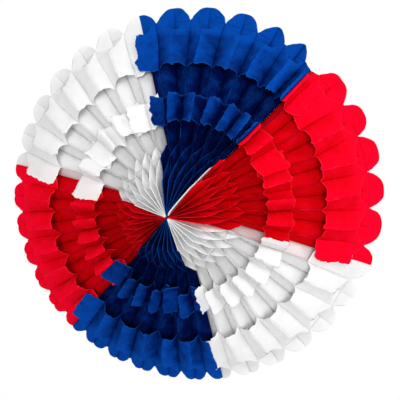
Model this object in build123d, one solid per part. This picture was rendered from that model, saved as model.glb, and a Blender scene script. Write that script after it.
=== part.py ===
from build123d import *
from math import cos, exp, radians, sin, sqrt
import os

# A honeycomb fan of tissue paper, opened all the way round into a rosette.
# It lies on its back: +Z is the axis and the front, z = 0 the plane it rests on,
# and the origin is on the axis. Lengths are millimetres, angles are degrees.

# Driving dimensions: the stack of leaves
section_names = ["blue_upper", "white_upper", "red_left", "blue_lower", "white_lower", "red_right"]
pairs_per_section = 6
paper = 0.08
card = 0.8
leaf_length = 318.0
glue_pitch = 34.0
glue_band = 4.0

# Driving dimensions: how the stack is opened
hub_rise = 74.0
rim_foot = 8.0
seam_angle = 46.0
bound_openings = [6.0, 5.1, 4.8, 4.2, 4.1, 5.3, 5.3]
seam_pinch = 0.56
seam_pinch_reach = 3.6
last_leaf_pinch = 0.6
flattest_panel = 0.12

# Driving dimensions: the cut outline of a leaf, from the hub axis out.
# The two square tabs share the length that the crown, the gaps and the rim leave.
hub_bore = 3.2
crown_top_end = 48.0
crown_tip = 78.0
crown_foot = 98.0
inner_gap = 24.0
outer_gap = 42.0
outer_tab_slope = 21.0
scallop_depth = 24.0
inner_tab_share = 0.43
tab_flare = 2.0
rim_round = 0.72

# Driving dimensions: cover cards and binding thread
card_strip = 8.0
thread_radius = 0.7
knot_radius = 3.6
knot_height = 2.4

leaf_count = 2 * pairs_per_section * len(section_names)
rim_radius = sqrt(leaf_length**2 - hub_rise**2)
notch_radius = rim_radius - scallop_depth
outer_tab_end = notch_radius - outer_tab_slope
inner_tab_start = crown_foot + inner_gap
tab_room = outer_tab_end - inner_tab_start - outer_gap
inner_tab_end = inner_tab_start + inner_tab_share * tab_room
outer_tab_start = inner_tab_end + outer_gap
half_band = glue_band / 2
panel_width = glue_pitch - glue_band


def leaf_openings():
    """The angle that each leaf takes of the full circle: the sections are opened unevenly.

    The stiff covers hold the cells beside them shut.
    """
    shares = []
    for leaf in range(leaf_count):
        section, along = divmod((leaf + 0.5) / (2 * pairs_per_section), 1)
        start, end = bound_openings[int(section)], bound_openings[int(section) + 1]
        share = start + (end - start) * along
        share *= 1 - seam_pinch * exp(-leaf / seam_pinch_reach)
        shares.append(share)
    shares[-1] *= 1 - last_leaf_pinch
    return [360 * share / sum(shares) for share in shares]


openings = leaf_openings()
plane_angles = [seam_angle + sum(openings[:index]) for index in range(leaf_count + 1)]


def radial(index):
    angle = radians(plane_angles[index])
    return Vector(cos(angle), sin(angle), 0)


def tangent(index):
    angle = radians(plane_angles[index])
    return Vector(-sin(angle), cos(angle), 0)


def plane_offset(index):
    """Glue planes stand off the axis by a share of the card thickness, so the two cards fit in the seam."""
    return card * (1 - 2 * index / leaf_count)


def back_height(radius):
    """Height of the lowest glue line: a shallow cone that ends in a flat foot at the rim."""
    slope_end = rim_radius - rim_foot
    return half_band + hub_rise * max(0, 1 - radius / slope_end)


def level_rise(index, radius):
    """Height from one glue line to the next on a glue plane, where the panels beside it are spread."""
    beside = [openings[leaf] for leaf in (index - 1, index) if 0 <= leaf < leaf_count]
    spread = radius * radians(sum(beside) / len(beside))
    flattest = flattest_panel * panel_width
    return glue_band + sqrt(max(panel_width**2 - spread**2, flattest**2))


def on_plane(index, radius, level, edge):
    """A point on a glue plane: edge is -1 or 1 for the lower or upper side of that level's glue band."""
    height = back_height(radius) + level * level_rise(index, radius) + edge * half_band
    return radial(index) * radius + tangent(index) * plane_offset(index) + Vector(0, 0, height)


class Sheet:
    """The two skins of one leaf. A point is a pair: its place on the lower and the upper skin."""

    def __init__(self, leaf):
        self.leaf = leaf
        self.polygons = []
        self.flat = []

    def point(self, radius, level, edge):
        if (self.leaf - level) % 2 == 0:
            lower = on_plane(self.leaf, radius, level, edge)
            return lower, lower + tangent(self.leaf) * paper
        upper = on_plane(self.leaf + 1, radius, level, edge)
        return upper - tangent(self.leaf + 1) * paper, upper

    def band(self, level, lower_radii, upper_radii):
        """A flat strip on a glue plane."""
        loop = [self.point(radius, level, -1) for radius in lower_radii]
        loop += [self.point(radius, level, 1) for radius in reversed(upper_radii)]
        self.add(loop, True)

    def panel(self, level, lower_radii, upper_radii):
        """A sloping strip from one level's glue band to the next one's."""
        low = [self.point(radius, level, 1) for radius in lower_radii]
        high = [self.point(radius, level + 1, -1) for radius in upper_radii]
        for step in range(len(low) - 1):
            self.add([low[step], low[step + 1], high[step + 1]], False)
            self.add([low[step], high[step + 1], high[step]], False)

    def rim_end(self):
        """The rounded end of the lowest panel, from the notch out to the apex of the scallop."""
        start = self.point(notch_radius, 0, 1)
        apex = self.point(rim_radius, 0, 1)
        foot = self.point(rim_radius - rim_foot, 0, 1)
        notch = self.point(notch_radius, 1, -1)
        reach = notch_radius + rim_round * (rim_radius - notch_radius)
        low = self.point(reach, 0, 1)
        high = self.point(reach, 1, -1)
        middle = tuple((a + b) * 0.5 for a, b in zip(low, high))
        self.add([start, foot, notch], False)
        self.add([foot, middle, notch], False)
        self.add([foot, apex, middle], False)

    def add(self, loop, flat):
        self.polygons.append(loop)
        self.flat.append(flat)

    def edge_faces(self):
        """Faces across the thickness, along each side that only one polygon has."""
        sides = {}
        for loop, flat in zip(self.polygons, self.flat):
            for start, end in zip(loop, loop[1:] + loop[:1]):
                sides[self.key(start), self.key(end)] = (start, end, flat)
        faces = []
        for (start_key, end_key), (start, end, flat) in sides.items():
            if (end_key, start_key) in sides:
                continue
            if flat:
                faces.append(polygon_face([start[0], end[0], end[1], start[1]]))
            else:
                faces.append(polygon_face([start[0], end[0], end[1]]))
                faces.append(polygon_face([start[0], end[1], start[1]]))
        return faces

    def key(self, point):
        return tuple(round(value, 6) for value in point[0])

    def solid(self):
        faces = self.edge_faces()
        for loop in self.polygons:
            faces.append(polygon_face([point[0] for point in loop]))
            faces.append(polygon_face([point[1] for point in loop]))
        return Solid(Shell(faces))


def polygon_face(points):
    return Face(Wire.make_polygon(points, close=True))


def make_leaf(leaf):
    """One leaf: four glue bands with the panels between them, cut to the stepped outline."""
    rim_ends = [notch_radius, rim_radius - rim_foot, rim_radius]
    inner_middle = (crown_foot + outer_tab_start) / 2
    tab_middle = (outer_tab_start + outer_tab_end) / 2
    back = [hub_bore, crown_foot, inner_middle, outer_tab_start, tab_middle, notch_radius]
    crown = [hub_bore, crown_foot]
    inner_tab = [inner_tab_start - tab_flare, inner_tab_end + tab_flare]
    outer_tab = [outer_tab_start - tab_flare, tab_middle, notch_radius]
    sheet = Sheet(leaf)
    sheet.band(0, [hub_bore] + rim_ends[1:], back + rim_ends[1:])
    sheet.panel(0, back, back)
    sheet.rim_end()
    sheet.band(1, back, crown + inner_tab + outer_tab)
    sheet.panel(1, crown, [hub_bore, crown_tip])
    sheet.panel(1, inner_tab, [inner_tab_start, inner_tab_end])
    sheet.panel(1, outer_tab, [outer_tab_start, tab_middle, outer_tab_end])
    sheet.band(2, [hub_bore, crown_tip], [hub_bore, crown_tip])
    sheet.band(2, [inner_tab_start, inner_tab_end], [inner_tab_start, inner_tab_end])
    sheet.band(2, [outer_tab_start, tab_middle, outer_tab_end], [outer_tab_start, outer_tab_end])
    sheet.panel(2, [hub_bore, crown_tip], [hub_bore, crown_top_end])
    sheet.band(3, [hub_bore, crown_top_end], [hub_bore, crown_top_end])
    return sheet.solid()


def make_card(index, side):
    """A flat cover card in the seam, glued to the leaf on the glue plane of that index.

    It has the outline of the crown, and a narrow strip runs on along the back to the rim.
    """
    strip = Vector(0, 0, card_strip)
    face = polygon_face([
        on_plane(index, hub_bore, 0, -1),
        on_plane(index, rim_radius - rim_foot, 0, -1),
        on_plane(index, rim_radius, 0, -1),
        on_plane(index, rim_radius, 0, 1),
        on_plane(index, rim_radius - rim_foot, 0, -1) + strip,
        on_plane(index, crown_foot, 0, -1) + strip,
        on_plane(index, crown_foot, 1, 1),
        on_plane(index, crown_tip, 2, 1),
        on_plane(index, crown_top_end, 3, 1),
        on_plane(index, hub_bore, 3, 1),
    ])
    return Solid.extrude(face, tangent(index) * (-side * card))


def make_binding_thread():
    """A thread through the hub, with a flat-seated knot on the back and one on the front."""
    back_seat = back_height(knot_radius) - half_band
    front_seat = back_height(hub_bore) + 3 * glue_pitch + half_band
    stem = Cylinder(thread_radius, front_seat - back_seat, align=(Align.CENTER, Align.CENTER, Align.MIN))
    thread = Pos(0, 0, back_seat) * stem
    for seat, align in ((back_seat, Align.MAX), (front_seat, Align.MIN)):
        knot = Cylinder(knot_radius, knot_height, align=(Align.CENTER, Align.CENTER, align))
        knot = fillet(knot.edges().filter_by(GeomType.CIRCLE), knot_height * 0.4)
        thread += Pos(0, 0, seat) * knot
    return thread


os.makedirs("parts", exist_ok=True)
for section, name in enumerate(section_names):
    for pair in range(pairs_per_section):
        first_leaf = 2 * (section * pairs_per_section + pair)
        leaves = [make_leaf(first_leaf), make_leaf(first_leaf + 1)]
        export_step(Compound(children=leaves), f"parts/{name}_{pair + 1}.step")
export_step(make_card(0, 1), "parts/front_cover.step")
export_step(make_card(leaf_count, -1), "parts/back_cover.step")
export_step(make_binding_thread(), "parts/binding_thread.step")
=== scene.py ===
import random
from collections import namedtuple
from math import asin, cos, exp, hypot, pi, radians, sin, sqrt

import bmesh
import bpy
from mathutils import Matrix, Vector, noise


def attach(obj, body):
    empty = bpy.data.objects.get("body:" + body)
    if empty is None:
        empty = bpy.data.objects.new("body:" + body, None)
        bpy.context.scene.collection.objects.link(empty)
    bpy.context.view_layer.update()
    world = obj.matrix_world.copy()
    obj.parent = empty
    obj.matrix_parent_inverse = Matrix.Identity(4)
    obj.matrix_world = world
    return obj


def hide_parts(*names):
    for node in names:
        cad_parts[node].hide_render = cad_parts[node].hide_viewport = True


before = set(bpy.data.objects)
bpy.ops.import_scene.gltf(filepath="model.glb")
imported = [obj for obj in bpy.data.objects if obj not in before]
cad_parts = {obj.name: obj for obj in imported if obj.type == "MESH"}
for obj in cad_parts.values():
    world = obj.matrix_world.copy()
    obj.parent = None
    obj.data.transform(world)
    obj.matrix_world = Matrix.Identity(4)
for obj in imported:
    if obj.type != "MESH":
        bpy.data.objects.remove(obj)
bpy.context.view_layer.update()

# A honeycomb fan of tissue paper, opened all the way round into a rosette that lies on its back.
# Lengths on the pieces are in millimetres, and put_in_place makes metres of them. Angles are in degrees.
# The finishes, the camera and the lamps are in metres.
# Glue planes are numbered round the rosette from the seam. Two leaves are glued to each other on each,
# at levels 0 and 2 on an even plane and at levels 1 and 3 on an odd one, counted from the back.
# A ramp is given as the place where it starts and its length.

millimetre = 0.001

# The stack of leaves, as in the CAD model
section_names = ["blue_upper", "white_upper", "red_left", "blue_lower", "white_lower", "red_right"]
pairs_per_section = 6
section_leaves = 2 * pairs_per_section
leaf_count = section_leaves * len(section_names)
leaf_length = 318.0
glue_pitch = 34.0
glue_band = 4.0
half_band = glue_band / 2
panel_width = glue_pitch - glue_band
card = 0.8
card_strip = 8.0
hub_rise = 74.0
rim_foot = 8.0
seam_angle = 46.0
bound_openings = [6.0, 5.1, 4.8, 4.2, 4.1, 5.3, 5.3]
seam_pinch = 0.56
seam_pinch_reach = 3.6
last_leaf_pinch = 0.6
flattest_panel = 0.12

# The cut outline of a leaf, as in the CAD model
hub_bore = 3.2
crown_top_end = 48.0
crown_tip = 78.0
crown_foot = 98.0
inner_tab_start = 122.0
inner_tab_end = 165.1
outer_tab_start = 207.1
rim_radius = sqrt(leaf_length**2 - hub_rise**2)
notch_radius = rim_radius - 24.0
outer_tab_end = notch_radius - 21.0

# The paper, where it starts, and the room that it keeps at its glue, which is less within gather_radius
paper = 0.08
hub_gather = 1.3
glue_gap = 0.041
gather_radius = 12.0

# Outside slack_ramp a panel is curled and spans this share of its width. The foot at the rim bends softly.
slack = 0.95
slack_ramp = (90, 60)
foot_bend = 12.0

# How the glue lines stray: sideways, as a share of the radius, in height and in lean
line_scale = 0.017
line_gain = 1.6
line_rise = 0.9
line_stray = 0.010
band_twist = 16
fin_twist = 14
height_channel, offset_channel, lean_channel, flutter_channel = 1, 2, 3, 4

# How ragged the cut edges are
coarse_tear, coarse_scale = 2.4, 0.13
fine_tear, fine_scale = 1.2, 0.5
crown_wear = 0.4
crown_wear_ramp = 5
rim_wear_fade = 12
edge_channel, flap_channel, side_channel = 3, 5, 7

# How the panels curve between glue bands, as parts of their height, and less within bulge_radius
bulge_radius = 50.0
panel_bulge = 0.3
panel_pull = 1.35
fold_open = 0.8
straight_pull = 0.9
over_bulge = 0.2
over_rise = 0.45
over_start_pull = 1.5
over_end_pull = 1.25

# How the crown falls away over the end of the card: parts of the paper's length and of the way it goes
card_end_aside = 0.85
card_end_rise = 0.96
card_end_leave = 1.3
card_end_lift = 0.4
card_end_meet = 0.9

# How far the panels are crumpled, and how fine
soft_crumple, soft_scale = 2.0, 0.035
small_crumple, small_scale = 1.0, 0.11
crumple_radius = 60

# The tabs: the fin at the front edge, where two leaves are glued, and the arched mouth
fin_strip = 0.6
fin_end = fin_strip + glue_band
fin_lean_range = (72, 108)
fin_turned_share = 0.2
fin_strip_limit = 3
lower_right = -45
white_corners = (8, 15)
dyed_corners = (3, 9)
outward_corner = 5
tab_skew = 4.0
mouth_bite = 6.0
mouth_drop = 0.35
mouth_reach = 22.0

# Tabs that have come unglued, by plane and tab: the leaf that lies on top, and the length that lies over
open_tabs = {
    (12, 1): (11, 22), (12, 2): (11, 36), (14, 1): (13, 30), (20, 1): (19, 30),
    (24, 1): (23, 36), (24, 2): (23, 33),
    (36, 1): (36, 36), (36, 2): (36, 36),
    (44, 1): (44, 26), (48, 1): (48, 15),
    (60, 2): (60, 34),
    (68, 1): (68, 37), (70, 2): (70, 24),
}
flap_level = 5
flap_wear = 1.5
top_flap_start, under_flap_start, flap_end = 22, 74, 92
flap_bend = 6.5
under_flap_reach = 0.8
flap_flutter = 1.3
flutter_along, flutter_up = 2.0, 40
flap_skew = 1.6

# The rim: how round the scallops are, and how many planes from the seam they are drawn to a point
pointed = 1.2
rounding = 1.6
point_ramp = (3, 4)
scallop_power = 0.9
tab_fall_power = 0.7

# What the stiff covers do to the paper beside the seam. Reaches are in glue planes.
seam_bow = 5.5
blue_bow_reach, red_bow_reach = 4, 7
bow_fade = (85, 60)
hub_lean = 1.7
hub_lean_reach = 6
hub_lean_ramp = (1, 7)
hub_lean_fade = (10, 50)
crown_press = 0.9
press_ramp = (4, 40)
seam_pull = 7.0
seam_pull_reach = 2.5
seam_pull_ramp = (235, 60)
seam_rim = 0.08
strip_start = 94.0
strip_clear = 1.5
strip_close = 0.4
card_fall = 4
card_squeeze = 0.94

draw = random.Random(7)


def leaf_openings():
    """The angle that each leaf takes of the full circle: the sections are opened unevenly.

    The stiff covers hold the cells beside them shut.
    """
    shares = []
    for leaf in range(leaf_count):
        section, along = divmod((leaf + 0.5) / section_leaves, 1)
        start, end = bound_openings[int(section)], bound_openings[int(section) + 1]
        share = start + (end - start) * along
        share *= 1 - seam_pinch * exp(-leaf / seam_pinch_reach)
        shares.append(share)
    shares[-1] *= 1 - last_leaf_pinch
    return [360 * share / sum(shares) for share in shares]


openings = leaf_openings()
plane_angles = [seam_angle + sum(openings[:index]) for index in range(leaf_count + 1)]


def clamp(value, low=0.0, high=1.0):
    return min(max(value, low), high)


def smooth(value):
    value = clamp(value)
    return value * value * (3 - 2 * value)


def ramp(value, start, length):
    """Goes smoothly from 0 to 1 over a length."""
    return smooth((value - start) / length)


def wander(plane, level, radius, channel):
    """Smooth noise from about -1 to 1 along one glue line, the same for both leaves that meet there.

    Each use has a channel. The odd factors keep the lines and the channels apart in the noise.
    """
    place = Vector((radius * line_scale, plane * 3.7 + level * 11.3, channel * 5.1))
    return noise.noise(place) * line_gain


def ragged(leaf, along, channel):
    """How far a cut edge strays at a place along it. Odd factors keep the leaves apart in the noise."""
    coarse = noise.noise(Vector((along * coarse_scale, leaf * 1.7, channel)))
    fine = noise.noise(Vector((along * fine_scale, leaf * 2.9, channel + 20)))
    return coarse * coarse_tear + fine * fine_tear


def bow(plane, radius, level):
    """How far the crown beside the seam leans over, in degrees: the stiff covers pull it to one side."""
    from_seam = exp(-plane / blue_bow_reach) + exp(-(leaf_count - plane) / red_bow_reach)
    return seam_bow * from_seam * ((level + 1) / 4) * (1 - ramp(radius, *bow_fade))


def card_lean(plane, radius, level):
    """Near the hub the front of the cover cards leans over, and presses the blue leaves together."""
    near_hub = ramp(radius, *hub_lean_ramp) * (1 - ramp(radius, *hub_lean_fade))
    return hub_lean * clamp(level - 2) * near_hub * exp(-plane / hub_lean_reach)


def plane_directions(plane, radius, level):
    """The way out along a glue plane and the way across it."""
    angle = radians(plane_angles[plane] + bow(plane, radius, level))
    return Vector((cos(angle), sin(angle), 0)), Vector((-sin(angle), cos(angle), 0))


def back_height(radius):
    """Height of the lowest glue line: a shallow cone that bends softly into a flat foot at the rim."""
    inside = rim_radius - rim_foot - radius
    bent = (inside + hypot(inside, foot_bend)) / 2 - (hypot(rim_foot, foot_bend) - rim_foot) / 2
    return half_band + hub_rise / (rim_radius - rim_foot) * bent


def level_rise(plane, radius):
    """Height from one glue line to the next on a glue plane."""
    beside = [openings[leaf] for leaf in (plane - 1, plane) if 0 <= leaf < leaf_count]
    spread = radius * radians(sum(beside) / len(beside))
    flattest = flattest_panel * panel_width
    straight = panel_width * (1 - (1 - slack) * ramp(radius, *slack_ramp))
    return glue_band + sqrt(max(straight**2 - spread**2, flattest**2))


def free_foot(plane, level, radius):
    """The lower edge of a glue band, where nothing presses on it."""
    height = back_height(radius) + level * level_rise(plane, radius) - half_band
    offset = card * (1 - 2 * plane / leaf_count) + card_lean(plane, radius, level)
    if 0 < plane < leaf_count and level > 0:
        height += wander(plane, level, radius, height_channel) * line_rise
        offset += wander(plane, level, radius, offset_channel) * line_stray * radius
    out, across = plane_directions(plane, radius, level)
    from_seam = min(plane, leaf_count - plane)
    radius -= seam_pull * exp(-from_seam / seam_pull_reach) * ramp(radius, *seam_pull_ramp)
    return out * radius + across * offset + Vector((0, 0, height))


def glue_foot(plane, level, radius):
    """The lower edge of a glue band. The front of the crown is pressed against the cover cards."""
    foot = free_foot(plane, level, radius)
    if level == 3 and plane in (1, leaf_count - 1):
        seam = free_foot(0 if plane == 1 else leaf_count, level, radius)
        return foot.lerp(seam, crown_press * ramp(radius, *press_ramp))
    return foot


def usual_side(plane):
    """The side that most fins lean to: clockwise in the lower right half, and the other way elsewhere."""
    return -1 if cos(radians(plane_angles[plane] - lower_right)) > 0 else 1


def draw_tabs():
    """How far each fin leans over, and how round the corner of its tab has worn, by plane and tab."""
    leans = {}
    corners = {}
    for plane in range(0, leaf_count + 1, 2):
        white = "white" in section_names[min(plane, leaf_count - 1) // section_leaves]
        for tab in (1, 2):
            side = usual_side(plane)
            if draw.random() < fin_turned_share:
                side = -side
            leans[plane, tab] = side * draw.uniform(*fin_lean_range)
            corners[plane, tab] = draw.uniform(*(white_corners if white else dyed_corners))
    return leans, corners


fin_leans, tab_corners = draw_tabs()


def s_curve(start, leave, end, meet, share):
    """A point on the curve between two places, with the ways that it leaves one and meets the other."""
    t, t2, t3 = share, share**2, share**3
    place = start * (2 * t3 - 3 * t2 + 1) + leave * (t3 - 2 * t2 + t)
    return place + end * (3 * t2 - 2 * t3) + meet * (t3 - t2)


# The rows of a leaf in runs, from the back edge to the front edge, with the kind of paper and its level.
# A tab ends with the first rows of the run past_fin, which lie on its fin.
Run = namedtuple("Run", "kind level rows width")
back_panel_rows = 9
row_runs = [
    Run("band", 0, 1, glue_band),
    Run("panel", 0, back_panel_rows, panel_width),
    Run("band", 1, 1, glue_band),
    Run("panel", 1, 10, panel_width),
    Run("band", 2, 2, glue_band),
    Run("panel", 2, 8, panel_width),
    Run("band", 3, 1, glue_band),
]
run_starts = [sum(run.width for run in row_runs[:number]) for number in range(len(row_runs))]
tab_wall, fin, past_fin, front_band = 3, 4, 5, 6
fin_rows = 2
tiny_share = 0.001

# Of the rows of the back panel beside the strip of a card, those that reach its top and its far side
strip_rows = 2
closing_rows = 3


def row_places():
    """For each row, the run that it belongs to and its share of the way up that run."""
    places = [(0, 0.0)]
    for number, run in enumerate(row_runs):
        places += [(number, (row + 1) / run.rows) for row in range(run.rows)]
    return places


rows = row_places()

Band = namedtuple("Band", "foot along off")
upward = Vector((0, 0, 1))


class Column:
    """One leaf at one radius: the line that the paper follows from its back edge to its front edge."""

    def __init__(self, leaf, radius, tab):
        self.leaf = leaf
        self.radius = radius
        self.tab = tab
        self.open = open_tabs.get((self.plane_side(2)[0], tab))
        self.bands = [self.band(level) for level in range(4)]

    def plane_side(self, level):
        """The glue plane of that level, and 1 or -1 for the side of it that the leaf is on."""
        if (self.leaf - level) % 2 == 0:
            return self.leaf, 1
        return self.leaf + 1, -1

    def band(self, level):
        """The foot of a glue band, the way up it and the way off it, to the leaf's own side."""
        plane, side = self.plane_side(level)
        radius = self.radius
        if level == 2 and self.tab:
            radius += tab_skew
        angle = radians(self.band_lean(plane, level, radius))
        across = plane_directions(plane, radius, level)[1]
        along = upward * cos(angle) + across * sin(angle)
        off = (across * cos(angle) - upward * sin(angle)) * side
        gap = glue_gap * min(1, self.radius / gather_radius)
        return Band(glue_foot(plane, level, radius) + off * gap, along, off)

    def band_lean(self, plane, level, radius):
        """How far a glue band leans over across its glue line, in degrees."""
        if level == 2 and self.tab:
            return self.fin_lean() + fin_twist * wander(plane, level, radius, lean_channel)
        if level == 1 and 0 < plane < leaf_count:
            from_hub = min(1, radius / bulge_radius)
            return band_twist * wander(plane, level, radius, lean_channel) * from_hub
        return 0

    def fin_lean(self):
        """The way a fin leans. The two in the seam lean off each other."""
        plane, side = self.plane_side(2)
        lean = fin_leans[plane, self.tab]
        return lean if 0 < plane < leaf_count else side * abs(lean)

    def beside_strip(self):
        """Whether the lowest panel goes up the narrow strip of a cover card."""
        return self.plane_side(0)[0] in (0, leaf_count) and self.radius > strip_start

    def beside_card_end(self):
        """Whether the crown falls away there to the end of the cover card's crown."""
        return self.leaf in (0, leaf_count - 1) and crown_tip < self.radius < crown_foot

    def on_band(self, level, share):
        band = self.bands[level]
        return band.foot + band.along * glue_band * share

    def on_panel(self, level, share):
        """A point on the S that the paper makes from one glue band to the next."""
        start = self.on_band(level, 1)
        end = self.on_band(level + 1, 0)
        if level == 0 and self.beside_strip():
            return self.past_strip(start, end, share)
        if level == 1 and self.beside_card_end():
            return self.over_card_end(start, end, share)
        if level == 1 and self.tab:
            return self.on_tab_wall(start, end, share)
        band = self.bands[level]
        pull = abs((end - start).z)
        bulge = band.off * panel_bulge * min(1, self.radius / bulge_radius)
        leave = (band.along + upward + bulge).normalized() * pull * panel_pull
        return s_curve(start, leave, end, upward * pull, share)

    def on_tab_wall(self, start, end, share):
        """A point on the wall of a tab, below its fin.

        Where the fin leans to its side, the wall goes straight up to a sharp fold. On the other side it
        bulges up and goes smoothly over.
        """
        band = self.bands[1]
        chord = end - start
        pull = abs(chord.z)
        if self.fin_lean() * self.plane_side(2)[1] > 0:
            leave = (band.along + band.off * fold_open).normalized() * pull
            return s_curve(start, leave, end, chord * straight_pull, share)
        leave = (band.along + upward + band.off * over_bulge).normalized() * pull * over_start_pull
        over = (Vector((chord.x, chord.y, 0)).normalized() + upward * over_rise).normalized()
        return s_curve(start, leave, end, over * pull * over_end_pull, share)

    def over_card_end(self, start, end, share):
        """Where the crown falls away beside the seam, the cut edge is drawn over the end of the card."""
        reach = (crown_cut(self.radius, 0) - glue_pitch - glue_band) / panel_width
        length = reach * panel_width
        aside = Vector((end.x - start.x, end.y - start.y, 0))
        aside *= min(1, card_end_aside * length / aside.length)
        lift = Vector((0, 0, sqrt(length**2 - aside.length**2) * card_end_rise))
        meet = (lift * card_end_lift + aside) * card_end_meet
        return s_curve(start, lift * card_end_leave, start + aside + lift, meet, min(1, share / reach))

    def past_strip(self, foot, end, share):
        """Beside the seam the paper goes up the narrow strip of the card, closes over it and goes on."""
        across = plane_directions(0, self.radius, 0)[1]
        side = self.plane_side(0)[1]
        top = foot + Vector((0, 0, card_top(self.radius) - glue_band + strip_clear))
        closed = top + across * side * (2 * glue_gap - card) + Vector((0, 0, strip_close))
        if share < strip_rows / back_panel_rows:
            return foot.lerp(top, share * back_panel_rows / strip_rows)
        if share < closing_rows / back_panel_rows:
            return top.lerp(closed, share * back_panel_rows - strip_rows)
        pull = Vector((0, 0, abs(end.z - closed.z)))
        left = back_panel_rows - closing_rows
        past = (share - closing_rows / back_panel_rows) * back_panel_rows / left
        return s_curve(closed, pull, end, pull, past)

    def on_flap(self, share):
        """A point of an unglued tab, which lies over on its side, at a share of the way to its end."""
        plane, side = self.plane_side(1)
        out, across = plane_directions(plane, self.radius, 1)
        top_leaf, length = self.open
        length += flap_wear * ragged(self.leaf, self.radius, flap_channel)
        start_angle = top_flap_start
        if top_leaf != self.leaf:
            length = under_flap_reach * self.radius * radians(openings[self.leaf] + openings[top_leaf])
            start_angle = under_flap_start
        aside, height = bent_over(share, length, start_angle)
        along = self.radius * flutter_along + flutter_up * share
        flutter = wander(self.plane_side(2)[0], flap_level, along, flutter_channel) * flap_flutter * share
        skew = tab_skew * flap_skew * share**2
        return self.on_band(1, 1) + across * side * aside + Vector((0, 0, height + flutter)) + out * skew


def bent_over(share, length, start_angle):
    """How far aside and how high loose paper has gone that leaves at an angle from upright and bends."""
    aside = height = 0.0
    steps = 12
    for step in range(steps):
        part = share * length * (step + 0.5) / steps
        angle = radians(flap_end - (flap_end - start_angle) * exp(-part / flap_bend))
        aside += sin(angle) * share * length / steps
        height += cos(angle) * share * length / steps
    return aside, height


def crown_cut(radius, plane):
    """Height of the crown's cut edge in the flat paper, from its back edge."""
    if radius <= crown_top_end:
        return 3 * glue_pitch + glue_band
    if radius <= crown_tip:
        share = (radius - crown_top_end) / (crown_tip - crown_top_end)
        return 3 * glue_pitch - panel_width * share
    return 2 * glue_pitch - panel_width * (radius - crown_tip) / (crown_foot - crown_tip)


def gap_cut(radius, plane):
    """The same between the crown, the tabs and the rim."""
    return glue_pitch + glue_band


def rounded(distance, corner):
    """How far a rounded corner falls below the edge at a distance from the end."""
    if distance >= corner:
        return 0
    return corner - sqrt(corner**2 - (corner - distance) ** 2)


def inner_tab_cut(radius, plane):
    """The same on the inner tab, whose inward corner has worn round."""
    top = 2 * glue_pitch + fin_end
    inward = rounded(radius - inner_tab_start, tab_corners[plane, 1])
    return top - inward - rounded(inner_tab_end - radius, outward_corner)


def outer_tab_cut(radius, plane):
    """The same on the outer tab, which falls to the notch of the rim."""
    if radius <= outer_tab_end:
        top = 2 * glue_pitch + fin_end
        inward = rounded(radius - outer_tab_start, tab_corners[plane, 2])
        return top - inward - rounded(outer_tab_end - radius, fin_end)
    past = clamp((radius - outer_tab_end) / (notch_radius - outer_tab_end))
    return glue_pitch + glue_band + panel_width * across_share(1 - past**tab_fall_power)


def rim_cut(radius, plane):
    """The same on the rounded scallops. The blue ones beside the seam are drawn to a point."""
    past = clamp((radius - notch_radius) / (rim_radius - notch_radius))
    roundness = pointed + rounding * ramp(plane, *point_ramp)
    return glue_band + panel_width * across_share((1 - past ** (1 / scallop_power)) ** (1 / roundness))


def across_share(aside):
    """How far up an S-shaped panel the paper is, where it has gone that share of the way aside."""
    return 0.5 - sin(asin(1 - 2 * clamp(aside)) / 3)


def spaced(start, end, count):
    return [start + (end - start) * step / count for step in range(count + 1)]


def eased(start, end, count):
    return [start + (end - start) * sin(pi / 2 * step / count) for step in range(count + 1)]


# Stretches of columns from the hub to the rim: the radii, the tab number and the cut edge.
# Where the cut edge jumps, the next stretch starts a hair further out.
hair = 0.001
column_runs = [
    (spaced(hub_gather, crown_top_end, 14), 0, crown_cut),
    (spaced(crown_top_end + hair, crown_tip, 11), 0, crown_cut),
    (spaced(crown_tip + hair, crown_foot, 8), 0, crown_cut),
    (spaced(crown_foot, inner_tab_start, 7), 0, gap_cut),
    (spaced(inner_tab_start, inner_tab_end, 17), 1, inner_tab_cut),
    (spaced(inner_tab_end, outer_tab_start, 10), 0, gap_cut),
    (spaced(outer_tab_start, outer_tab_end, 21), 2, outer_tab_cut),
    (spaced(outer_tab_end, notch_radius, 9), 2, outer_tab_cut),
    (eased(notch_radius, rim_radius, 12), 0, rim_cut),
]


def standing(cut, tab):
    """How much of each run of rows stands below a cut edge."""
    shares = [clamp((cut - start) / run.width) for start, run in zip(run_starts, row_runs)]
    if tab:
        shares[past_fin] = clamp((cut - 2 * glue_pitch - glue_band) / fin_strip, 0, fin_strip_limit)
        shares[front_band] = 0
    return shares


def leaf_point(column, number, share):
    """A place on the leaf, and how free the paper is to move there, from 0 on glue to 1 between folds."""
    run = row_runs[number]
    if column.open and number >= tab_wall:
        starts = {tab_wall: 0, fin: panel_width, past_fin: glue_pitch}
        length = starts[number] + (fin_strip if number == past_fin else run.width) * share
        return column.on_flap(length / (panel_width + fin_end)), 0
    if column.tab and number == past_fin:
        return column.on_band(2, 1 + share * fin_strip / glue_band), 0
    if run.kind == "band":
        return column.on_band(run.level, share), 0
    freedom = 4 * share * (1 - share)
    if run.level == 0 and column.beside_strip():
        freedom *= smooth(share * (back_panel_rows // closing_rows) - 1)
    return column.on_panel(run.level, share), freedom


def crumple(column, level, place, freedom):
    """Moves a point of a panel out of its smooth curve, as handled tissue is.

    The odd factors keep the leaves and the panels apart in the noise.
    """
    if freedom == 0:
        return place
    side = column.bands[level].off
    seed = Vector((column.leaf * 4.1, level * 7.7, 0))
    soft = noise.noise(place * soft_scale + seed)
    small = noise.noise(place * small_scale + seed)
    from_hub = min(1, column.radius / crumple_radius)
    return place + side * freedom**2 * from_hub * (soft * soft_crumple + small * small_crumple)


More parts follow.
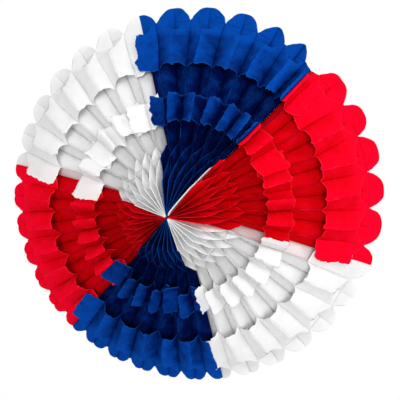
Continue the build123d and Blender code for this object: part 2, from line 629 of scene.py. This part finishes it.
def bitten(place, leaf, past_start, freedom):
    """The mouth of a tab, on the side of the hub, is cut back in an arch between its folds."""
    out = plane_directions(leaf, 0, 1)[0]
    bite = (out - Vector((0, 0, mouth_drop))) * mouth_bite
    return place + bite * freedom * (1 - smooth(past_start / mouth_reach))


def worn_radius(leaf, radius):
    """The half scallops in the seam are squashed back."""
    if leaf not in (0, leaf_count - 1) or radius < notch_radius:
        return radius
    return notch_radius + (radius - notch_radius) * seam_rim


class Stretch:
    """A stretch of one leaf, from one radius to another, that has one kind of cut edge."""

    def __init__(self, leaf, radii, tab, cut_edge):
        self.leaf = leaf
        self.radii = radii
        self.tab = tab
        self.last = len(radii) - 1
        self.columns = [Column(leaf, worn_radius(leaf, radius), tab) for radius in radii]
        plane = self.columns[0].plane_side(2)[0]
        self.cuts = [cut_edge(radius, plane) + self.wear(radius) for radius in radii]
        self.shares = [standing(cut, tab) for cut in self.cuts]

    def wear(self, radius):
        """How far the cut edge strays: as torn paper on a tab, and less on the crown and the rim."""
        wear_and_painted_shading = 1
        if not self.tab:
            wear_and_painted_shading = crown_wear * ramp(radius, crown_top_end, crown_wear_ramp)
            wear_and_painted_shading *= smooth((rim_radius - radius) / rim_wear_fade)
        return ragged(self.leaf, radius, edge_channel) * wear_and_painted_shading

    def stands(self, step, number):
        """Whether there is paper in a run of rows, at a column or at one beside it."""
        beside = (step, max(step - 1, 0), min(step + 1, self.last))
        return any(self.shares[near][number] > 0 for near in beside)

    def at_side_cut(self, step, number):
        """Whether a column is the cut side of a tab, and not where it falls to the rim."""
        if not self.tab or step not in (0, self.last) or number < tab_wall:
            return False
        return self.radii[step] not in (outer_tab_end, notch_radius)

    def at_front_cut(self, step, number, share):
        """Whether a place is on the front edge of the paper."""
        shares = self.shares[step]
        if number + 1 < len(shares) and shares[number + 1] != 0:
            return False
        return share == 1 or shares[number] < 1 and share >= shares[number] - tiny_share

    def point(self, step, number, share):
        """The place of the paper at a share of the way up a run of rows."""
        run = row_runs[number]
        place, freedom = leaf_point(self.columns[step], number, share)
        place = crumple(self.columns[step], run.level, place, freedom)
        if number == tab_wall and self.radii[0] in (inner_tab_start, outer_tab_start):
            place = bitten(place, self.leaf, self.radii[step] - self.radii[0], freedom)
        if self.at_side_cut(step, number):
            out = plane_directions(self.leaf, self.radii[step], 1)[0]
            place += out * ragged(self.leaf, 10 * number + share * run.width, side_channel + step)
        return place

    def depth(self, step, number, share):
        """How deep a place lies below the front edge, up to 1, for the painted shade in the folds. A loose
        tab gets no painted shade.
        """
        if self.columns[step].open and number >= tab_wall:
            return 0
        width = row_runs[number].width
        return clamp((self.cuts[step] - run_starts[number] - share * width) / glue_pitch)


def add_leaf(mesh, leaf):
    """One leaf: for each stretch, a grid that is laid along the cut and folded paper."""
    # The cut edges are marked for a painted highlight, and how deep each place lies in a fold for painted
    # shade
    edge_highlight_mask = mesh.verts.layers.float["cut_edge"]
    depth = mesh.verts.layers.float["fold_shade_depth"]
    down = len(rows) - 1
    for radii, tab, cut_edge in column_runs:
        stretch = Stretch(leaf, radii, tab, cut_edge)
        across = stretch.last
        grid = bmesh.ops.create_grid(mesh, x_segments=across, y_segments=down, size=0.5)["verts"]
        spare = []
        for vertex in grid:
            step = round((vertex.co.x + 0.5) * across)
            number, share = rows[round((vertex.co.y + 0.5) * down)]
            if tab and number == past_fin:
                share *= row_runs[number].rows / fin_rows
            if share > 1 + tiny_share or not stretch.stands(step, number):
                spare.append(vertex)
                continue
            share *= stretch.shares[step][number]
            vertex.co = stretch.point(step, number, share)
            # How deep the place lies in its fold, for the painted shade
            vertex[depth] = stretch.depth(step, number, share)
            # Marked for the painted highlight along the cut edges
            if stretch.at_side_cut(step, number) or stretch.at_front_cut(step, number, share):
                vertex[edge_highlight_mask] = 1
        bmesh.ops.delete(mesh, geom=spare, context="VERTS")


# Points of one mesh that are nearer than this become one
leaf_weld = 0.01
thread_weld = 0.001


def thicken(piece, name, thickness):
    """Gives a sheet its thickness, half of it on each side."""
    shell = piece.modifiers.new(name, "SOLIDIFY")
    shell.thickness = thickness * millimetre
    shell.offset = 0


def make_pair(name, first_leaf, finish):
    """Two leaves that are glued to each other, as one piece."""
    mesh = bmesh.new()
    # Layers for the painted highlight on the cut edges and the painted shade deep in the folds
    for layer in ("cut_edge", "fold_shade_depth"):
        mesh.verts.layers.float.new(layer)
    for leaf in (first_leaf, first_leaf + 1):
        add_leaf(mesh, leaf)
        bmesh.ops.remove_doubles(mesh, verts=mesh.verts, dist=leaf_weld)
    bmesh.ops.recalc_face_normals(mesh, faces=mesh.faces)
    piece = put_in_place(mesh, name + "_tissue", finish)
    thicken(piece, "paper", paper)
    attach(piece, "root")
    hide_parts(name)


def seam_point(radius, height, aside):
    """A place in the seam, at a height above its back line and a distance off its middle."""
    out, across = plane_directions(0, radius, height / glue_pitch)
    aside += card_lean(0, radius, height / level_rise(0, radius))
    return out * radius + across * aside + Vector((0, 0, back_height(radius) - half_band + height))


def card_top(radius):
    """Height of a cover card's front edge above its back edge."""
    if radius > crown_foot:
        return card_strip - (card_strip - glue_band) * ramp(radius, notch_radius, rim_foot)
    cut = crown_cut(radius, 0)
    if radius > crown_tip:
        cut = max(card_strip, cut - (radius - crown_tip) * card_fall)
    return cut * level_rise(0, radius) / glue_pitch


# The two parts of a cover card, the crown and the strip: the radii and the rows
card_parts = [
    (spaced(hub_bore, crown_foot, 60), 18),
    (spaced(crown_foot + hair, worn_radius(0, rim_radius) - seam_pull, 40), 2),
]


def make_card(name, aside, finish):
    """A cover card: the outline of the crown, and a narrow strip along the back to the rim."""
    mesh = bmesh.new()
    for radii, down in card_parts:
        across = len(radii) - 1
        for vertex in bmesh.ops.create_grid(mesh, x_segments=across, y_segments=down, size=0.5)["verts"]:
            radius = radii[round((vertex.co.x + 0.5) * across)]
            height = card_top(radius) * round((vertex.co.y + 0.5) * down) / down
            vertex.co = seam_point(radius, height, aside)
    bmesh.ops.recalc_face_normals(mesh, faces=mesh.faces)
    piece = put_in_place(mesh, name + "_board", finish)
    thicken(piece, "board", card * card_squeeze)
    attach(piece, "root")
    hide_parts(name)


# The binding thread: the twisted strands through the hub, and the turns of its knots
strand_radius = 0.34
strand_twists = 14
strand_steps = 160
turn_radius = 0.45
knot_turns = 4
knot_width = 1.5
knot_steps = 28
knot_tilt = 22
knot_shift = 0.2
turn_angle = 1.1
turn_tighter = 0.12
back_knot_drop = 1.2
front_knot_lift = 0.9
back_knot_radius = 3.6


def with_edges(verts):
    """Some vertices and the edges on them, each once."""
    return verts + list(dict.fromkeys(edge for vertex in verts for edge in vertex.link_edges))


def make_knot(mesh, height):
    """A few turns of thread pulled tight on each other."""
    for turn in range(knot_turns):
        tilt = Matrix.Rotation(radians(draw.uniform(-knot_tilt, knot_tilt)), 4, "X")
        tilt = tilt @ Matrix.Rotation(turn * turn_angle, 4, "Z")
        shift = (draw.uniform(-knot_shift, knot_shift), draw.uniform(-knot_shift, knot_shift), height)
        ring = bmesh.ops.create_circle(mesh, segments=10, radius=turn_radius)["verts"]
        bmesh.ops.rotate(mesh, verts=ring, cent=(0, 0, 0), matrix=Matrix.Rotation(radians(90), 3, "X"))
        bmesh.ops.translate(mesh, verts=ring, vec=(knot_width * (1 - turn_tighter * turn), 0, 0))
        bmesh.ops.spin(
            mesh, geom=with_edges(ring), cent=(0, 0, 0), axis=(0, 0, 1),
            angle=radians(360), steps=knot_steps, use_merge=True
        )
        made = [vertex for vertex in mesh.verts if not vertex.tag]
        for vertex in made:
            vertex.tag = True
        bmesh.ops.transform(mesh, matrix=Matrix.Translation(shift) @ tilt, verts=made)


def make_thread(finish):
    """The binding thread: two strands twisted down the hub, knotted at the back and the front."""
    mesh = bmesh.new()
    bottom = back_height(back_knot_radius) - half_band
    top = back_height(hub_bore) + 3 * glue_pitch + half_band
    make_knot(mesh, bottom - back_knot_drop)
    make_knot(mesh, top + front_knot_lift)
    for strand in (0, 1):
        ring = bmesh.ops.create_circle(mesh, segments=8, radius=strand_radius)["verts"]
        bmesh.ops.translate(mesh, verts=ring, vec=(strand_radius * (1 - 2 * strand), 0, bottom))
        rise = (0, 0, (top - bottom) / strand_steps)
        bmesh.ops.spin(
            mesh, geom=with_edges(ring), cent=(0, 0, 0), axis=(0, 0, 1), dvec=rise,
            angle=radians(360 * strand_twists), steps=strand_steps
        )
    bmesh.ops.remove_doubles(mesh, verts=mesh.verts, dist=thread_weld)
    bmesh.ops.recalc_face_normals(mesh, faces=mesh.faces)
    piece = put_in_place(mesh, "hub_thread", finish)
    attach(piece, "root")
    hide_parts("binding_thread")


def put_in_place(mesh, name, finish):
    """A piece in metres from a mesh in millimetres."""
    bmesh.ops.transform(mesh, matrix=Matrix.Scale(millimetre, 4), verts=mesh.verts)
    for face in mesh.faces:
        face.smooth = True
    data = bpy.data.meshes.new(name)
    mesh.to_mesh(data)
    mesh.free()
    data.materials.append(finish)
    piece = bpy.data.objects.new(name, data)
    bpy.context.scene.collection.objects.link(piece)
    return piece


class Value:
    """What a node gives out. Arithmetic on it adds Math nodes."""

    def __init__(self, finish, socket):
        self.finish = finish
        self.socket = socket

    def math(self, operation, *numbers):
        return self.finish.node("ShaderNodeMath", {"operation": operation}, dict(enumerate(numbers)))

    def __add__(self, other):
        return self.math("ADD", self, other)

    def __sub__(self, other):
        return self.math("SUBTRACT", self, other)

    def __rsub__(self, other):
        return self.math("SUBTRACT", other, self)

    def __mul__(self, other):
        return self.math("MULTIPLY", self, other)

    __radd__ = __add__
    __rmul__ = __mul__


class Finish:
    """A material, made node by node."""

    def __init__(self, name):
        self.material = bpy.data.materials.new(name)
        self.material.use_nodes = True
        self.tree = self.material.node_tree
        self.tree.nodes.clear()

    def node(self, kind, settings=None, sockets=None, output=0):
        """Adds a node, with its settings first, and gives one of its outputs."""
        made = self.tree.nodes.new(kind)
        for setting, value in (settings or {}).items():
            setattr(made, setting, value)
        for name, value in (sockets or {}).items():
            if isinstance(value, Value):
                self.tree.links.new(value.socket, made.inputs[name])
            else:
                made.inputs[name].default_value = value
        return Value(self, made.outputs[output]) if made.outputs else None

    def grain(self, place, scale, detail):
        """Noise of a fineness."""
        return self.node("ShaderNodeTexNoise", sockets={"Vector": place, "Scale": scale, "Detail": detail})

    def mixed(self, share, first, second):
        """A colour between two others."""
        return self.node("ShaderNodeMix", {"data_type": "RGBA"}, {0: share, 6: first, 7: second}, output=2)

    def bumped(self, height, strength, distance):
        """The way that a rough surface faces."""
        sockets = {"Strength": strength, "Distance": distance, "Height": height}
        return self.node("ShaderNodeBump", sockets=sockets)

    def clamped(self, value):
        return self.node("ShaderNodeClamp", sockets={"Value": value})

    def show(self, surface):
        self.node("ShaderNodeOutputMaterial", sockets={"Surface": surface})
        return self.material


# Painted light and shade, from the colour for shade at 0 to the colour for light at 1: lit outwards,
# upwards and at the rim, shaded deep in a fold
shading_outwards, shading_upwards, shading_start = 7.0, 8.0, 1.27
rim_shading, rim_shading_start = 28.0, 7.2
fold_shade = 0.5
cloud_weight, fibre_weight, mottle_and_shading_balance = 1.3, 0.8, 1.05
# A painted highlight along the cut edges, where they catch the light
edge_highlight = 0.85
fibre_bump = 0.15


def tissue_finish(name, colour_in_light, colour_in_shade, edge, through_share):
    """Thin tissue: cloudy where the fibres lie thicker, crinkled, with a painted highlight along its cut
    edges.

    Painted shade makes it darker deep in the folds, low down and near the hub, and painted light makes it
    paler at the front edges and the rim. The white is painted the other way round, paler in the folds and
    greyer where light falls, to flatten its shading. Light that comes through the paper has the colour of
    the edge highlight.
    """
    finish = Finish(name)
    place = finish.node("ShaderNodeTexCoord", output="Object")
    flat = finish.node("ShaderNodeVectorMath", {"operation": "MULTIPLY"}, {0: place, 1: (1, 1, 0)})
    radius = finish.node("ShaderNodeVectorMath", {"operation": "LENGTH"}, {0: flat}, output="Value")
    cloud = finish.grain(place, scale=60.0, detail=4.0)
    fibre = finish.grain(place, scale=420.0, detail=3.0)
    height = finish.node("ShaderNodeSeparateXYZ", sockets={"Vector": place}, output="Z")
    # Painted light and shade: towards the colour for light outwards, upwards and at the rim, towards the
    # colour for shade deep in a fold
    rim = finish.clamped(radius * rim_shading - rim_shading_start)
    depth = finish.node("ShaderNodeAttribute", {"attribute_name": "fold_shade_depth"}, output="Fac")
    wear_and_painted_shading = radius * shading_outwards + height * shading_upwards - shading_start
    painted_shading = finish.clamped(wear_and_painted_shading + rim - depth * fold_shade)
    colour_and_painted_shading = finish.mixed(painted_shading + cloud * cloud_weight + fibre * fibre_weight - mottle_and_shading_balance, colour_in_shade, colour_in_light)
    # A painted highlight along the cut edges, where they catch the light
    cut = finish.node("ShaderNodeAttribute", {"attribute_name": "cut_edge"}, output="Fac")
    base = finish.mixed(cut * edge_highlight, colour_and_painted_shading, edge)
    bump = finish.bumped(cloud + fibre * fibre_bump, strength=0.6, distance=0.0012)
    front = {"Base Color": base, "Roughness": 0.9, "Normal": bump, "Specular IOR Level": 0.03}
    surface = finish.node("ShaderNodeBsdfPrincipled", sockets=front)
    through = finish.node("ShaderNodeBsdfTranslucent", sockets={"Color": edge})
    sheet = finish.node("ShaderNodeMixShader", sockets={0: through_share, 1: surface, 2: through})
    return finish.show(sheet)


def card_finish():
    """Pale grey card, with its pressed fibres showing."""
    finish = Finish("cover_card")
    place = finish.node("ShaderNodeTexCoord", output="Object")
    fibre = finish.grain(place, scale=900.0, detail=4.0)
    base = finish.mixed(fibre, (0.50, 0.50, 0.49, 1), (0.72, 0.72, 0.71, 1))
    bump = finish.bumped(fibre, strength=0.3, distance=0.0002)
    front = {"Base Color": base, "Roughness": 0.85, "Normal": bump, "Specular IOR Level": 0.2}
    return finish.show(finish.node("ShaderNodeBsdfPrincipled", sockets=front))


def thread_finish():
    """Dark cotton thread with a fine twist."""
    finish = Finish("dark_thread")
    place = finish.node("ShaderNodeTexCoord", output="Object")
    twist = finish.grain(place, scale=2500.0, detail=2.0)
    base = finish.mixed(twist, (0.012, 0.010, 0.02, 1), (0.05, 0.04, 0.07, 1))
    bump = finish.bumped(twist, strength=0.5, distance=0.0002)
    front = {"Base Color": base, "Roughness": 0.75, "Normal": bump, "Specular IOR Level": 0.25}
    return finish.show(finish.node("ShaderNodeBsdfPrincipled", sockets=front))


# The camera: the way that its back faces and the way to it, each as a turn and a lean, and its lens
camera_back = (39.25, 10.45)
camera_way = (35.54, 11.63)
camera_distance = 0.75
aimed_height = 0.002
sensor_width = 36
focal_length = 40.55

# The floor and the light all round
floor_size = 4000
floor_drop = 0.5
floor_seen_white = 0.96
sky_strength = 0.5


def slanted(turn, lean):
    """The direction that leans away from straight up, towards an angle round the axis."""
    turn, lean = radians(turn), radians(lean)
    return Vector((sin(lean) * cos(turn), sin(lean) * sin(turn), cos(lean)))


def make_camera():
    """Where the photograph was taken from: above the rosette, a little to its upper right."""
    back = slanted(*camera_back)
    right = Vector((1, 0, 0))
    right = (right - back * right.dot(back)).normalized()
    up = back.cross(right)
    data = bpy.data.cameras.new("camera")
    data.sensor_width = sensor_width
    data.lens = focal_length
    camera = bpy.data.objects.new("camera", data)
    camera.matrix_world = Matrix((right, up, back)).transposed().to_4x4()
    camera.location = slanted(*camera_way) * camera_distance + upward * aimed_height
    bpy.context.scene.collection.objects.link(camera)
    bpy.context.scene.camera = camera


def make_lamp(name, place, size, power):
    """A square soft lamp that shines at the middle of the rosette."""
    data = bpy.data.lights.new(name, "AREA")
    data.size = size
    data.energy = power
    lamp = bpy.data.objects.new(name, data)
    lamp.location = place
    lamp.rotation_mode = "QUATERNION"
    lamp.rotation_quaternion = Vector(place).to_track_quat("Z", "Y")
    bpy.context.scene.collection.objects.link(lamp)


def make_floor():
    """A matt floor that the camera sees as almost white, just under the rosette."""
    mesh = bmesh.new()
    bmesh.ops.create_grid(mesh, x_segments=1, y_segments=1, size=floor_size)
    finish = Finish("floor")
    matte = finish.node("ShaderNodeBsdfDiffuse", sockets={"Color": (0.85, 0.85, 0.85, 1)})
    seen = finish.node("ShaderNodeLightPath", output="Is Camera Ray")
    white = finish.node("ShaderNodeEmission", sockets={"Strength": 1.0})
    surface = finish.node("ShaderNodeMixShader", sockets={0: seen * floor_seen_white, 1: matte, 2: white})
    floor = put_in_place(mesh, "floor", finish.show(surface))
    floor.data.transform(Matrix.Translation((0, 0, -floor_drop * millimetre)))


def make_world():
    """Plain white light from all round."""
    world = bpy.data.worlds.new("studio")
    world.use_nodes = True
    background = world.node_tree.nodes["Background"]
    background.inputs["Color"].default_value = (1, 1, 1, 1)
    background.inputs["Strength"].default_value = sky_strength
    bpy.context.scene.world = world


# Each tissue's colours: for painted light, for painted shade, and the painted highlight at a cut edge,
# which light let through also takes; and the share of light that it lets through
tissue_colours_and_shading = {
    "blue": ((0.0005, 0.056, 0.35, 1), (0.0001, 0.004, 0.064, 1), (0.003, 0.07, 0.34, 1), 0.06),
    "white": ((0.90, 0.90, 0.90, 1), (0.99, 0.99, 0.99, 1), (0.97, 0.97, 0.97, 1), 0.35),
    "red": ((0.89, 0.0005, 0.022, 1), (0.66, 0.0001, 0.003, 1), (1.0, 0.012, 0.035, 1), 0.12),
}
tissues = {colour: tissue_finish(colour + "_tissue", *colours_and_shading) for colour, colours_and_shading in tissue_colours_and_shading.items()}

for section, name in enumerate(section_names):
    colour = name.split("_")[0]
    for pair in range(pairs_per_section):
        first_leaf = 2 * (section * pairs_per_section + pair)
        make_pair(f"{name}_{pair + 1}", first_leaf, tissues[colour])
board = card_finish()
make_card("front_cover", card / 2, board)
make_card("back_cover", -card / 2, board)
make_thread(thread_finish())

make_camera()
make_lamp("key", place=(1.25, 0.95, 1.15), size=0.9, power=10)
make_lamp("fill", place=(0.26, 0.18, 1.8), size=0.5, power=22)
make_floor()
make_world()
bpy.context.scene.view_settings.view_transform = "Standard"
